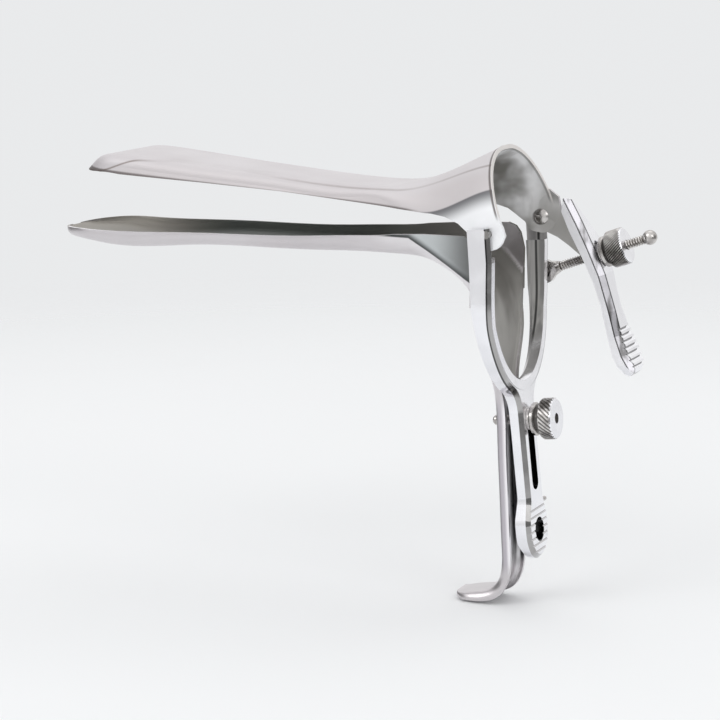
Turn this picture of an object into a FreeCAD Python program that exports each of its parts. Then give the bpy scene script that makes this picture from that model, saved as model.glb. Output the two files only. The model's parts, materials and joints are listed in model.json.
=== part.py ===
import FreeCAD, Part
import Sketcher
import math
import os

# Bivalve speculum with a sliding yoke, in millimetres.
# The blades point towards -X, the handle hangs down, +Y is the side of the thumb lever.
# Shapes are drawn about the middle of the hinge axis, and then placed so that the hole in
# the yoke's thumb pad is the origin.

V = FreeCAD.Vector
os.makedirs("parts", exist_ok=True)
doc = FreeCAD.newDocument("speculum")
sheet = doc.addObject("Spreadsheet::Sheet", "sizes")

SIZES = (
    # Formed sheet
    ("blade_sheet", 1.2),
    ("fit_gap", 0.05),
    ("side_gap", 0.1),
    # Lower blade, its bill
    ("lower_reach", 142.0),
    ("tip_round", 16.0),
    ("bill_half", 17.5),
    ("waist_half", 13.9),
    ("bill_corner", 3.4),
    ("lower_rim_level", 6.0),
    ("lower_waist_rim", 4.0),
    ("lower_neck_rim", 1.6),
    ("lower_tip_depth", 2.0),
    ("lower_bill_depth", 4.3),
    ("lower_waist_depth", 4.2),
    # Lower blade, its cheeks and back plate
    ("cheek_half", 19.0),
    ("cheek_rear", 4.0),
    ("neck_corner", 5.6),
    ("plate_half", 17.6),
    ("tab_height", 6.0),
    ("tab_level", 18.0),
    ("tab_side", 20.2),
    # Handle and hook
    ("handle_half", 6.25),
    ("handle_depth", 3.3),
    ("handle_corner", 2.6),
    ("handle_front", 3.9),
    ("handle_lean", 3.0),
    ("handle_end", 95.5),
    ("hook_reach", 16.0),
    ("hook_drop", 11.6),
    # Upper blade
    ("upper_reach", 134.6),
    ("upper_tip_level", 10.6),
    ("upper_crown", 16.2),
    ("upper_waist_level", 10.4),
    ("arch_half", 21.7),
    ("arch_top", 22.3),
    ("mouth_lean", 20.5),
    ("mouth_foot", 4.9),
    ("ear_round", 4.7),
    ("ear_rear", 12.4),
    # Yoke, drawn with its stem upright and then leaned
    ("yoke_lean", 6.3),
    ("arm_inner", 20.0),
    ("arm_thick", 3.8),
    ("arm_top", 1.6),
    ("tongue_thick", 1.55),
    ("recess_floor", 6.6),
    ("fork_start", 19.0),
    ("fork_inner_drop", 24.8),
    ("fork_thick", 4.4),
    ("fork_fillet", 8.0),
    ("pad_fillet", 5.0),
    ("stem_half", 5.65),
    ("stem_rear", 1.25),
    ("stem_thick", 3.7),
    ("edge_bevel", 1.2),
    ("inner_bevel", 1.3),
    ("pad_half", 7.8),
    ("pad_level", 87.0),
    ("pad_end", 95.5),
    ("pad_hole", 6.7),
    ("pad_grooves", 7),
    ("groove_pitch", 2.0),
    ("groove_depth", 0.35),
    ("groove_half", 0.45),
    ("slot_width", 4.6),
    ("slot_travel", 18.0),
    ("clamp_level", 55.3),
    # Hinge rivets
    ("pivot_pin", 2.2),
    ("pivot_head", 4.6),
    ("pivot_dome", 1.0),
    # Thumb lever
    ("lever_inner", 20.4),
    ("lever_width", 9.6),
    ("lever_waist", 7.4),
    ("lever_pad_width", 12.6),
    ("lever_slot", 3.7),
    ("lever_slot_length", 8.0),
    ("lever_bevel", 1.8),
    ("lever_grooves", 7),
    ("lever_groove_pitch", 1.73),
    ("lever_groove_top", 31.6),
    ("lever_groove_depth", 0.7),
    ("lever_groove_half", 0.5),
    # Adjuster
    ("rod_lean", 20.2),
    ("rod_side", 24.9),
    ("rod_thread", 2.9),
    ("rod_length", 33.6),
    ("eye_outer", 7.0),
    ("eye_hole", 4.0),
    ("eye_thick", 2.0),
    ("eye_x", -0.2),
    ("eye_z", -16.5),
    ("eye_pin", 2.4),
    ("eye_head", 4.8),
    ("eye_dome", 0.4),
    ("ball_round", 4.3),
    ("nut_round", 10.8),
    ("nut_head", 5.3),
    ("nut_start", 20.6),
    ("nut_neck", 0.6),
    ("nut_neck_round", 7.2),
    ("nut_chamfer", 0.5),
    ("washer_round", 9.0),
    ("washer_thick", 1.6),
    ("washer_chamfer", 0.4),
    ("washer_boss", 0.7),
    ("washer_boss_round", 5.8),
    # Clamp
    ("stud_round", 2.9),
    ("stud_head", 5.0),
    ("stud_head_thick", 0.8),
    ("stud_end", 2.2),
    ("stud_sunk", 0.6),
    ("clamp_round", 11.8),
    ("clamp_head", 4.05),
    ("clamp_neck", 1.4),
    ("clamp_neck_round", 7.2),
    ("clamp_washer_round", 9.5),
    ("clamp_washer_thick", 1.5),
    ("clamp_boss", 1.15),
    ("clamp_boss_round", 7.0),
    # Guide pin in the stem's side
    ("guide_round", 1.3),
    ("guide_level", 79.9),
    ("guide_inset", 0.8),
    ("guide_depth", 2.6),
    ("guide_reach", 8.3),
    ("guide_chamfer", 0.3),
)
for row, (alias, value) in enumerate(SIZES, start=1):
    sheet.set("A%d" % row, alias)
    sheet.set("B%d" % row, str(value))
    sheet.setAlias("B%d" % row, alias)
doc.recompute()


def size(alias):
    """A driving dimension, read from the sheet."""
    return float(sheet.get(alias))


def turned(angle, x, z):
    """Turn a point of the XZ plane about Y, so that a positive angle leans +X upwards."""
    c, s = math.cos(math.radians(angle)), math.sin(math.radians(angle))
    return x * c - z * s, x * s + z * c


# Frame shared by every piece: the hole in the thumb pad goes to the origin

YOKE_LEAN = size("yoke_lean")
HOLE_X, HOLE_Z = turned(YOKE_LEAN, -size("stem_rear") - size("stem_thick") / 2, -size("pad_level"))
SHIFT = V(-HOLE_X, 0, -HOLE_Z)


def lean(angle):
    """Rotation about Y that lifts +X by the angle."""
    return FreeCAD.Rotation(V(0, 1, 0), -angle)


UPRIGHT = FreeCAD.Placement(SHIFT, FreeCAD.Rotation())
ON_YOKE = FreeCAD.Placement(SHIFT, lean(YOKE_LEAN))


# Helpers for bodies and sketches

def body_named(name, place):
    body = doc.addObject("PartDesign::Body", name)
    body.Label = name
    body.Placement = place
    return body


def sketch_on(body, name, role):
    plane = [f for f in body.Origin.OriginFeatures if f.Role == role][0]
    sketch = body.newObject("Sketcher::SketchObject", name)
    sketch.AttachmentSupport = [(plane, "")]
    sketch.MapMode = "FlatFace"
    return sketch


def outline(sketch, corners):
    """Closed outline of straight edges, each corner held by two bound distances."""
    places = [(float(sheet.evalExpression(u)), float(sheet.evalExpression(w))) for u, w in corners]
    count = len(places)
    first = sketch.GeometryCount
    for i, (u, w) in enumerate(places):
        following = places[(i + 1) % count]
        sketch.addGeometry(Part.LineSegment(V(u, w, 0), V(following[0], following[1], 0)))
    for i in range(count):
        sketch.addConstraint(Sketcher.Constraint("Coincident", first + i, 2, first + (i + 1) % count, 1))
    for i, (u, w) in enumerate(corners):
        across = sketch.addConstraint(Sketcher.Constraint("DistanceX", first + i, 1, places[i][0]))
        sketch.setExpression("Constraints[%d]" % across, u)
        along = sketch.addConstraint(Sketcher.Constraint("DistanceY", first + i, 1, places[i][1]))
        sketch.setExpression("Constraints[%d]" % along, w)


def circle(sketch, u, w, radius):
    """Circle whose centre and radius are bound to expressions."""
    centre = [float(sheet.evalExpression(e)) for e in (u, w)]
    r = float(sheet.evalExpression(radius))
    i = sketch.addGeometry(Part.Circle(V(centre[0], centre[1], 0), V(0, 0, 1), r))
    for kind, expression, value in (("DistanceX", u, centre[0]), ("DistanceY", w, centre[1])):
        c = sketch.addConstraint(Sketcher.Constraint(kind, i, 3, value))
        sketch.setExpression("Constraints[%d]" % c, expression)
    c = sketch.addConstraint(Sketcher.Constraint("Radius", i, r))
    sketch.setExpression("Constraints[%d]" % c, radius)


def both_ways(body, kind, name, sketch, length):
    """Pad or pocket of a sketch, half of its length to each side of the sketch's plane."""
    feature = body.newObject("PartDesign::" + kind, name)
    feature.Profile = sketch
    feature.SideType = "Symmetric"
    feature.setExpression("Length", length)
    return feature


def revolved(body, name, sketch, axis="H_Axis"):
    feature = body.newObject("PartDesign::Revolution", name)
    feature.Profile = sketch
    feature.ReferenceAxis = (sketch, [axis])
    feature.Angle = 360
    return feature


def edges_of(feature, wanted):
    """Names of the feature's edges that pass the test."""
    return ["Edge%d" % (i + 1) for i, e in enumerate(feature.Shape.Edges) if wanted(e)]


def dressed(body, kind, name, base, names, bound):
    """Fillet or chamfer on named edges, its size bound to an expression."""
    feature = body.newObject("PartDesign::" + kind, name)
    feature.Base = (base, names)
    feature.setExpression("Radius" if kind == "Fillet" else "Size", bound)
    doc.recompute()
    return feature


def solid_feature(name, shape, place):
    piece = doc.addObject("Part::Feature", name)
    piece.Label = name
    piece.Shape = shape
    piece.Placement = place
    return piece


# Formed sheet: troughs lofted through cross-sections

def trough_section(x, z, angle, half, depth, corner, wall, lean_in=0.0):
    """Closed cross-section of a trough whose floor lies at x, z.

    The angle turns the way that the walls point: 0 is up, 90 is towards +X.
    """
    way = V(math.sin(math.radians(angle)), 0, math.cos(math.radians(angle)))
    base = half - lean_in
    bend = math.sqrt(0.5)

    def at(u, w):
        return V(x, u, z) + way * w

    def corner_arc(side, radius):
        centre_u, centre_w = side * (base - corner), corner
        points = [at(centre_u + side * radius * a, centre_w - radius * b)
                  for a, b in ((1, 0), (bend, bend), (0, 1))]
        return points

    inner = corner - wall
    left_out, right_out = corner_arc(-1, corner), corner_arc(1, corner)
    left_in, right_in = corner_arc(-1, inner), corner_arc(1, inner)
    rims = [at(-half, depth), at(half, depth), at(half - wall, depth), at(-half + wall, depth)]
    edges = [
        Part.LineSegment(rims[0], left_out[0]),
        Part.Arc(*left_out),
        Part.LineSegment(left_out[2], right_out[2]),
        Part.Arc(right_out[2], right_out[1], right_out[0]),
        Part.LineSegment(right_out[0], rims[1]),
        Part.LineSegment(rims[1], rims[2]),
        Part.LineSegment(rims[2], right_in[0]),
        Part.Arc(*right_in),
        Part.LineSegment(right_in[2], left_in[2]),
        Part.Arc(left_in[2], left_in[1], left_in[0]),
        Part.LineSegment(left_in[0], rims[3]),
        Part.LineSegment(rims[3], rims[0]),
    ]
    return Part.Wire([e.toShape() for e in edges])


def prism(points, half_width):
    """Solid with the given outline in XZ, reaching half_width to each side of Y = 0."""
    wire = Part.makePolygon([V(x, -half_width, z) for x, z in points + points[:1]])
    return Part.Face(wire).extrude(V(0, 2 * half_width, 0))


def tip_half(distance):
    """Half width of a blade's rounded tip at a distance from its end."""
    run = (size("tip_round") - distance) / size("tip_round")
    return size("bill_half") * math.sqrt(1 - run * run)


def lower_blade_shape():
    wall, corner = size("blade_sheet"), size("bill_corner")
    reach, rim = size("lower_reach"), size("lower_rim_level")
    tip_depth, bill_depth = size("lower_tip_depth"), size("lower_bill_depth")
    waist_rim, waist_depth = size("lower_waist_rim"), size("lower_waist_depth")
    bill, waist, cheek = size("bill_half"), size("waist_half"), size("cheek_half")
    neck_corner, neck_rim = size("neck_corner"), size("lower_neck_rim")

    sections = []
    # Bill: distance from the tip, rim level and depth of the trough
    for distance, level, depth in (
        (0.3, rim + 0.9, tip_depth * 0.72),
        (2.2, rim + 0.5, tip_depth),
        (5.5, rim + 0.2, tip_depth * 1.4),
        (10.5, rim, bill_depth * 0.75),
    ):
        half = tip_half(distance)
        bend = min(corner, depth - 0.1, half * 0.6)
        sections.append(trough_section(-reach + distance, -level - depth, 0, half, depth,
                                       max(bend, wall + 0.1), wall))
    for x, level, depth, half in (
        (-reach + 20, rim + 0.1, bill_depth, bill),
        (-94, rim * 0.9, bill_depth * 0.9, bill - 1.3),
        (-62, waist_rim * 1.2, waist_depth, waist + 0.5),
        (-44, waist_rim * 0.93, waist_depth * 1.15, waist),
    ):
        sections.append(trough_section(x, -level - depth, 0, half, depth, corner, wall, 0.5))

    # Neck: the floor curves down to the back plate, the walls stay tall and are trimmed later
    for x, z, turn, half, tall in (
        (-31.0, -8.3, 3, waist + 0.5, 9.0 - neck_rim - 1.6),
        (-24.0, -9.1, 11, waist + 1.6, 8.6),
        (-18.5, -10.6, 22, cheek - 2.2, 12.0),
        (-13.5, -12.8, 33, cheek - 0.7, 15.5),
        (-9.9, -15.4, 46, cheek, 13.0),
        (-7.3, -19.8, 63, cheek - 0.5, 6.5),
        (-5.9, -26.0, 78, size("plate_half"), 2.6),
        (-5.2, -33.0, 84, size("plate_half") - 2.4, 2.3),
    ):
        sections.append(trough_section(x, z, turn, half, tall, neck_corner if tall > 6 else 2.2, wall, 0.4))

    # Handle and hook
    handle, depth = size("handle_half"), size("handle_depth")
    slope = math.tan(math.radians(size("handle_lean")))
    front, end = size("handle_front"), size("handle_end")
    upright = 90 - size("handle_lean")
    bend = size("handle_corner")

    def front_at(level):
        return -front + (level - 50) * slope

    sections.append(trough_section(front_at(40) - 0.3, -40, 85, 10.6, 2.6, 2.3, wall))
    sections.append(trough_section(front_at(45) - 0.1, -45, upright, 7.6, 2.9, 2.5, wall))
    for level in (51, 62, 78, end - 5):
        sections.append(trough_section(front_at(level), -level, upright, handle, depth, bend, wall))
    reach, drop = size("hook_reach"), size("hook_drop")
    start = front_at(end)
    for run, fall, turn, half, deep in (
        (0.0, 0.06, 94, handle, depth),
        (0.03, 0.40, 107, handle, depth),
        (0.16, 0.71, 134, handle + 0.2, depth),
        (0.46, 0.86, 158, handle + 0.6, depth * 0.88),
        (0.76, 0.93, 164, handle + 0.3, depth * 0.66),
        (0.96, 0.95, 166, handle - 1.8, depth * 0.45),
    ):
        x = start - (reach + start) * run
        z = -end - drop * fall
        sections.append(trough_section(x, z, turn, half, deep, min(bend, deep - 0.1), wall))
    sheet_form = Part.makeLoft(sections, True, False)

    # Trim the cheeks to level top edges and an upright rear edge with a rounded corner
    rear, tall = -size("cheek_rear"), 30
    trim = [(-33, -neck_rim - 1.2), (-22, -neck_rim - 0.4), (rear - 4.5, -neck_rim), (rear - 2.4, -neck_rim - 0.9),
            (rear - 1.1, -neck_rim - 2.8), (rear, -9.0), (rear, -25.0), (rear + 1.2, -33.0), (rear + 4.4, -46.0),
            (tall, -46.0), (tall, tall), (-33, tall)]
    sheet_form = sheet_form.cut(prism(trim, 40))

    # Guide tabs in front of the yoke's arms
    tab_top = -size("tab_level") + size("tab_height") / 2
    tab_low = tab_top - size("tab_height")
    for side in (-1, 1):
        inner_y = side * (cheek - 1.4)
        outer_y = side * size("tab_side")
        tab = Part.makeBox(wall, abs(outer_y - inner_y), size("tab_height"),
                           V(rear - 0.6 - wall, min(inner_y, outer_y), tab_low))
        sheet_form = sheet_form.fuse(tab)

    # Round hole for the clamp stud
    hole_x, hole_z = turned(YOKE_LEAN, 0, -size("clamp_level"))
    way = V(math.cos(math.radians(YOKE_LEAN)), 0, math.sin(math.radians(YOKE_LEAN)))
    hole = Part.makeCylinder(size("stud_round") / 2, 20, V(hole_x, 0, hole_z) - way * 16, way)
    return sheet_form.cut(hole)


def upper_blade_shape():
    wall, corner = size("blade_sheet"), size("bill_corner")
    reach, crown = size("upper_reach"), size("upper_crown")
    tip, waist_level = size("upper_tip_level"), size("upper_waist_level")
    waist, bill, arch = size("waist_half"), size("bill_half"), size("arch_half")
    sections = []
    for distance, level, depth in (
        (0.3, tip + 0.1, 1.5),
        (2.2, tip + 0.7, 2.1),
        (5.5, tip + 2.5, 3.3),
        (10.5, tip + 5.2, 4.7),
    ):
        half = tip_half(distance)
        sections.append(trough_section(-reach + distance, level, 180, half, depth,
                                       max(min(corner, depth - 0.1), wall + 0.1), wall))
    for x, level, depth, half in (
        (-reach + 19, crown, 5.6, bill),
        (-88, crown - 2.5, 5.0, bill - 1.6),
        (-66, waist_level + 1.5, 4.4, waist + 0.5),
        (-46, waist_level + 0.1, 4.9, waist),
        (-35, waist_level, 5.8, waist + 0.1),
    ):
        sections.append(trough_section(x, level, 180, half, depth, corner, wall, 0.4))
    # Flare into the arch
    top, mouth = size("arch_top"), size("mouth_lean")
    mouth_x = size("mouth_foot") - top * math.tan(math.radians(mouth))
    for x, level, turn, half, tall, bend, swell in (
        (-27.5, waist_level + 1.3, 176, waist + 1.6, 9.5, 8.5, 0.0),
        (-19.5, waist_level + 3.9, 172, waist + 4.0, 15.0, 13.5, 0.0),
        (-11.5, top - 4.2, 167, arch - 1.5, 22.0, 17.5, 0.2),
        (-7.0, top - 2.0, 163, arch - 0.6, 26.0, 19.0, 0.5),
        (mouth_x, top, 180 - mouth, arch - 0.3, 30.0, arch - 1.4, 0.7),
    ):
        sections.append(trough_section(x, level, turn, half, tall, bend, wall, -swell))
    sheet_form = Part.makeLoft(sections, True, False)

    # Lower edges and ear lobes
    lobe, low = size("ear_round"), 40
    edge = [(-reach - 5, tip - 0.2), (-125, 11.2), (-104, 10.1), (-91, 9.4), (-66, 7.8), (-30, 4.7), (-21, 4.2),
            (-18.5, 4.2), (-14, 3.7), (-9.5, 2.2)]
    lobe_points = [(lobe * math.cos(math.radians(a)), lobe * math.sin(math.radians(a)))
                   for a in range(200, 360, 16)]
    outline_points = edge + lobe_points + [(lobe + 0.4, 0), (lobe + 20, 0), (lobe + 20, low), (-reach - 5, low)]
    keep = prism(outline_points, 40)
    sheet_form = sheet_form.common(keep)

    # Long ear on the lever's side
    rear = size("ear_rear")
    ear = [(-3.0, 8.0), (2.2, 8.2), (5.2, 6.0), (6.2, 1.6), (8.6, -3.8), (rear, -10.8), (8.6, -7.9), (5.2, -5.7),
           (2.0, -lobe + 0.3), (-2.0, -4.0), (-3.6, -1.0)]
    plate = Part.Face(Part.makePolygon([V(x, arch - wall, z) for x, z in ear + ear[:1]]))
    sheet_form = sheet_form.fuse(plate.extrude(V(0, wall, 0)))

    # Flat round seats for the rivets' heads, and their holes
    seat, head = arch - wall, size("pivot_head") / 2 + size("side_gap")
    for side in (-1, 1):
        outward = V(0, side, 0)
        disc = Part.makeCylinder(lobe - size("side_gap"), wall, outward * seat, outward)
        facing = Part.makeCylinder(head, 3 * wall, outward * (seat - 3 * wall), outward)
        hole = Part.makeCylinder(size("pivot_pin") / 2 + size("fit_gap"), 2 * arch, V(0, 0, 0), outward)
        sheet_form = sheet_form.fuse(disc).cut(facing).cut(hole)
    return sheet_form


lower_blade = solid_feature("lower_blade", lower_blade_shape(), UPRIGHT)
upper_blade = solid_feature("upper_blade", upper_blade_shape(), UPRIGHT)


# Yoke

def yoke_front_outline(sketch):
    """Seen from the rear: two arms, a rounded fork, the stem and the thumb pad."""
    inner, outer = size("arm_inner"), size("arm_inner") + size("arm_thick")
    top, start = size("arm_top"), -size("fork_start")
    stem, pad = size("stem_half"), size("pad_half")
    pad_z, end = -size("pad_level"), -size("pad_end")
    inner_drop = size("fork_inner_drop")
    outer_drop = inner_drop + size("fork_thick")

    def arc(centre, across, drop, begin, finish):
        """Elliptical arc between two points, going round below its centre."""
        major, minor = max(across, drop), min(across, drop)
        upright = drop > across
        far = V(0, centre + major, 0) if upright else V(major, centre, 0)
        near = V(-minor, centre, 0) if upright else V(0, centre + minor, 0)
        ellipse = Part.Ellipse(far, near, V(0, centre, 0))
        a, b = ellipse.parameter(V(begin[0], begin[1], 0)), ellipse.parameter(V(finish[0], finish[1], 0))
        return Part.ArcOfEllipse(ellipse, a, b)

    shoulder = start - outer_drop * math.sqrt(1 - (stem / outer) ** 2)
    flare = pad_z + 9
    runs = [
        ((-outer, start), (-outer, top)), ((-outer, top), (-inner, top)), ((-inner, top), (-inner, start)),
        ((inner, start), (inner, top)), ((inner, top), (outer, top)), ((outer, top), (outer, start)),
        ((-stem, shoulder), (-stem, flare)), ((stem, shoulder), (stem, flare)),
        ((-stem, flare), (-pad, pad_z + 3)), ((stem, flare), (pad, pad_z + 3)),
        ((-pad, pad_z + 3), (-pad, pad_z)), ((pad, pad_z + 3), (pad, pad_z)),
    ]
    for (u0, w0), (u1, w1) in runs:
        sketch.addGeometry(Part.LineSegment(V(u0, w0, 0), V(u1, w1, 0)))
    sketch.addGeometry(arc(start, inner, inner_drop, (-inner, start), (inner, start)))
    sketch.addGeometry(arc(start, outer, outer_drop, (-outer, start), (-stem, shoulder)))
    sketch.addGeometry(arc(start, outer, outer_drop, (stem, shoulder), (outer, start)))
    sketch.addGeometry(arc(pad_z, pad, pad_z - end, (-pad, pad_z), (pad, pad_z)))


def near(value, target, slack=0.02):
    return abs(value - target) < slack


# How deep the eye's rivet and the guide pin stand in the yoke, as distances from its middle plane
PIN_END = "(sizes.arm_inner + sizes.arm_thick / 2)"
GUIDE_START = "(sizes.stem_half - sizes.guide_depth)"

# Where the pin of the rod's eye stands: against the front of the eye's hole
SLACK = "((sizes.eye_hole - sizes.eye_pin) / 2 - sizes.fit_gap)"
RIVET_X = "(sizes.eye_x - cos(sizes.rod_lean * 1 deg) * %s)" % SLACK
RIVET_Z = "(sizes.eye_z - sin(sizes.rod_lean * 1 deg) * %s)" % SLACK


def make_yoke():
    body = body_named("yoke", ON_YOKE)
    front = sketch_on(body, "yoke_outline", "YZ_Plane")
    yoke_front_outline(front)
    pad = both_ways(body, "Pad", "yoke_blank", front, "20 mm")

    rear = sketch_on(body, "yoke_rear_face", "XZ_Plane")
    outline(rear, [("1", "4"), ("0.6", "-8"), ("-0.3", "-16"), ("-sizes.stem_rear", "-26"),
                   ("-sizes.stem_rear", "-sizes.pad_end - 2"), ("14", "-sizes.pad_end - 2"), ("14", "4")])
    rear_cut = both_ways(body, "Pocket", "yoke_rear_cut", rear, "70 mm")

    face = sketch_on(body, "yoke_front_face", "XZ_Plane")
    front_x = "-sizes.stem_rear - sizes.stem_thick"
    outline(face, [("-5.2", "4"), ("-5.6", "-8"), ("-6.3", "-20"), ("-5.8", "-33"), (front_x + " - 0.25", "-44.6"),
                   (front_x, "-58"), (front_x, "-77"), (front_x + " - 0.6", "-83"), (front_x + " - 0.6", "-90"),
                   (front_x + " + 0.4", "-93.5"), (front_x + " + 1.6", "-sizes.pad_end - 2"),
                   ("-14", "-sizes.pad_end - 2"), ("-14", "4")])
    front_cut = both_ways(body, "Pocket", "yoke_front_cut", face, "70 mm")
    doc.recompute()

    # Rounded shoulders and pad sides
    stem, pad_half = size("stem_half"), size("pad_half")
    outer_drop = size("fork_inner_drop") + size("fork_thick")
    shoulder = -size("fork_start") - outer_drop * math.sqrt(1 - (stem / (size("arm_inner") + size("arm_thick"))) ** 2)
    flare, side = -size("pad_level") + 9, -size("pad_level") + 3

    def along_x(edge, half, level):
        box = edge.BoundBox
        return (box.XLength > 2 and box.YLength < 0.01 and near(abs(box.YMin), half)
                and box.ZMin - 0.6 < level < box.ZMax + 0.6)

    names = edges_of(front_cut, lambda e: along_x(e, stem, shoulder))
    rounded = dressed(body, "Fillet", "yoke_shoulders", front_cut, names, "sizes.fork_fillet")
    names = edges_of(rounded, lambda e: along_x(e, stem, flare) or along_x(e, pad_half, side))
    rounded = dressed(body, "Fillet", "pad_shoulders", rounded, names, "sizes.pad_fillet")

    # Bevel along the rear outer edge and along the arms' inner front edge
    limit = size("recess_floor") + 3

    def rear_outer(edge):
        box = edge.BoundBox
        if box.ZMin > -8 or box.ZLength + box.YLength < 0.5:
            return False
        middle = edge.valueAt((edge.FirstParameter + edge.LastParameter) / 2)
        return on_rear(middle) and abs(middle.y) > inner_at(middle.z) + 0.5

    def inner_at(z):
        """Half width inside the fork at a level."""
        below = -size("fork_start") - z
        if below <= 0:
            return size("arm_inner")
        if below >= size("fork_inner_drop"):
            return 0
        return size("arm_inner") * math.sqrt(1 - (below / size("fork_inner_drop")) ** 2)

    def on_rear(point):
        if point.z < -26:
            return near(point.x, -size("stem_rear"), 0.05)
        return point.x > -2.2

    bevels = dressed(body, "Chamfer", "yoke_rear_bevel", rounded, edges_of(rounded, rear_outer),
                     "sizes.edge_bevel")

    def front_inner(edge):
        box = edge.BoundBox
        middle = edge.valueAt((edge.FirstParameter + edge.LastParameter) / 2)
        return (box.ZLength > 0.5 and box.ZMin > -size("fork_start") - size("fork_inner_drop") * 0.85
                and middle.x < -4 and near(abs(middle.y), inner_at(middle.z), 0.05))

    bevels = dressed(body, "Chamfer", "yoke_front_bevel", bevels, edges_of(bevels, front_inner),
                     "sizes.inner_bevel")

    # Recess for the blade's ears, which leaves a thin tongue at the top of each arm
    recess = sketch_on(body, "ear_recess", "YZ_Plane")
    tongue = "(sizes.arm_inner + sizes.arm_thick - sizes.tongue_thick)"
    outline(recess, [("-" + tongue, "-sizes.recess_floor"), (tongue, "-sizes.recess_floor"), (tongue, "6"),
                     ("-" + tongue, "6")])
    both_ways(body, "Pocket", "ear_recess_cut", recess, "40 mm")

    # Slot for the clamp stud, and the hole in the thumb pad
    slot = sketch_on(body, "stem_slot", "YZ_Plane")
    slot_half, top, low = size("slot_width") / 2, -size("clamp_level"), -size("clamp_level") - size("slot_travel")
    slot.addGeometry(Part.LineSegment(V(-slot_half, top, 0), V(-slot_half, low, 0)))
    slot.addGeometry(Part.LineSegment(V(slot_half, low, 0), V(slot_half, top, 0)))
    slot.addGeometry(Part.ArcOfCircle(Part.Circle(V(0, top, 0), V(0, 0, 1), slot_half), 0, math.pi))
    slot.addGeometry(Part.ArcOfCircle(Part.Circle(V(0, low, 0), V(0, 0, 1), slot_half), math.pi, 2 * math.pi))
    both_ways(body, "Pocket", "stem_slot_cut", slot, "40 mm")
    hole = sketch_on(body, "pad_hole_circle", "YZ_Plane")
    circle(hole, "0 mm", "-sizes.pad_level", "sizes.pad_hole / 2")
    both_ways(body, "Pocket", "pad_hole_cut", hole, "40 mm")

    # Holes for the rivets
    pins = sketch_on(body, "pivot_circles", "XZ_Plane")
    circle(pins, "0 mm", "0 mm", "sizes.pivot_pin / 2")
    both_ways(body, "Pocket", "pivot_holes", pins, "70 mm")

    # Hole for the eye's rivet, in the arm on the lever's side only
    eye_hole = sketch_on(body, "eye_rivet_circle", "XZ_Plane")
    pin_x, pin_z = "(%s * cos(%s) + %s * sin(%s))", "(%s * cos(%s) - %s * sin(%s))"
    turn = "(sizes.yoke_lean * 1 deg)"
    circle(eye_hole, pin_x % (RIVET_X, turn, RIVET_Z, turn), pin_z % (RIVET_Z, turn, RIVET_X, turn),
           "sizes.eye_pin / 2")
    eye_hole.AttachmentOffset = FreeCAD.Placement(V(0, 0, -size("rod_side")), FreeCAD.Rotation())
    both_ways(body, "Pocket", "eye_rivet_hole", eye_hole, "2 * (sizes.rod_side - %s)" % PIN_END)

    # Hole for the guide pin in one side of the stem
    pin_hole = sketch_on(body, "guide_pin_circle", "XZ_Plane")
    circle(pin_hole, "-sizes.stem_rear - sizes.guide_inset", "-sizes.guide_level", "sizes.guide_round / 2")
    pin_hole.AttachmentOffset = FreeCAD.Placement(V(0, 0, -size("guide_reach")), FreeCAD.Rotation())
    both_ways(body, "Pocket", "guide_pin_hole", pin_hole, "2 * (sizes.guide_reach - %s)" % GUIDE_START)

    # Cross grooves on the pad
    pitch, count = size("groove_pitch"), int(size("pad_grooves"))
    grooves = sketch_on(body, "pad_groove_lines", "XZ_Plane")
    for k in range(count):
        level = "(-sizes.pad_level + (%g) * sizes.groove_pitch)" % ((count - 1) / 2 - k)
        outline(grooves, [("-sizes.stem_rear - sizes.groove_depth", level),
                          ("-sizes.stem_rear + sizes.side_gap", level + " - sizes.groove_half"),
                          ("-sizes.stem_rear + sizes.side_gap", level + " + sizes.groove_half")])
    both_ways(body, "Pocket", "pad_grooves_cut", grooves, "60 mm")
    doc.recompute()
    return body


yoke = make_yoke()


# Hinge rivets: a pin with a domed head inside the blade's ear

def make_rivet(name, side):
    body = body_named(name, UPRIGHT)
    sketch = sketch_on(body, name + "_profile", "XY_Plane")
    r, head = size("pivot_pin") / 2, size("pivot_head") / 2
    inside = size("arch_half") - size("blade_sheet") - size("fit_gap")
    outside = size("arm_inner") + size("arm_thick")
    dome = size("pivot_dome")
    ball = (head ** 2 + dome ** 2) / (2 * dome)
    half_up = dome - ball + math.sqrt(ball ** 2 - (head / 2) ** 2)
    arc = Part.Arc(V(head, side * inside, 0), V(head / 2, side * (inside - half_up), 0),
                   V(0, side * (inside - dome), 0))
    sketch.addGeometry(arc)
    for (u0, w0), (u1, w1) in (
        ((0, inside - dome), (0, outside)),
        ((0, outside), (r, outside)),
        ((r, outside), (r, inside)),
        ((r, inside), (head, inside)),
    ):
        sketch.addGeometry(Part.LineSegment(V(u0, side * w0, 0), V(u1, side * w1, 0)))
    revolved(body, name + "_turned", sketch, "V_Axis")
    doc.recompute()
    return body


rivets = [make_rivet("hinge_rivet_left", -1), make_rivet("hinge_rivet_right", 1)]


# Thumb lever: a strip seen from the side, narrowed to its outline seen from the rear

def rear_at(line, level):
    """X of a line of falling points at a level."""
    for (x0, z0), (x1, z1) in zip(line, line[1:]):
        if z1 <= level <= z0:
            return x0 + (x1 - x0) * (z0 - level) / (z0 - z1)
    return line[-1][0]


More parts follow.
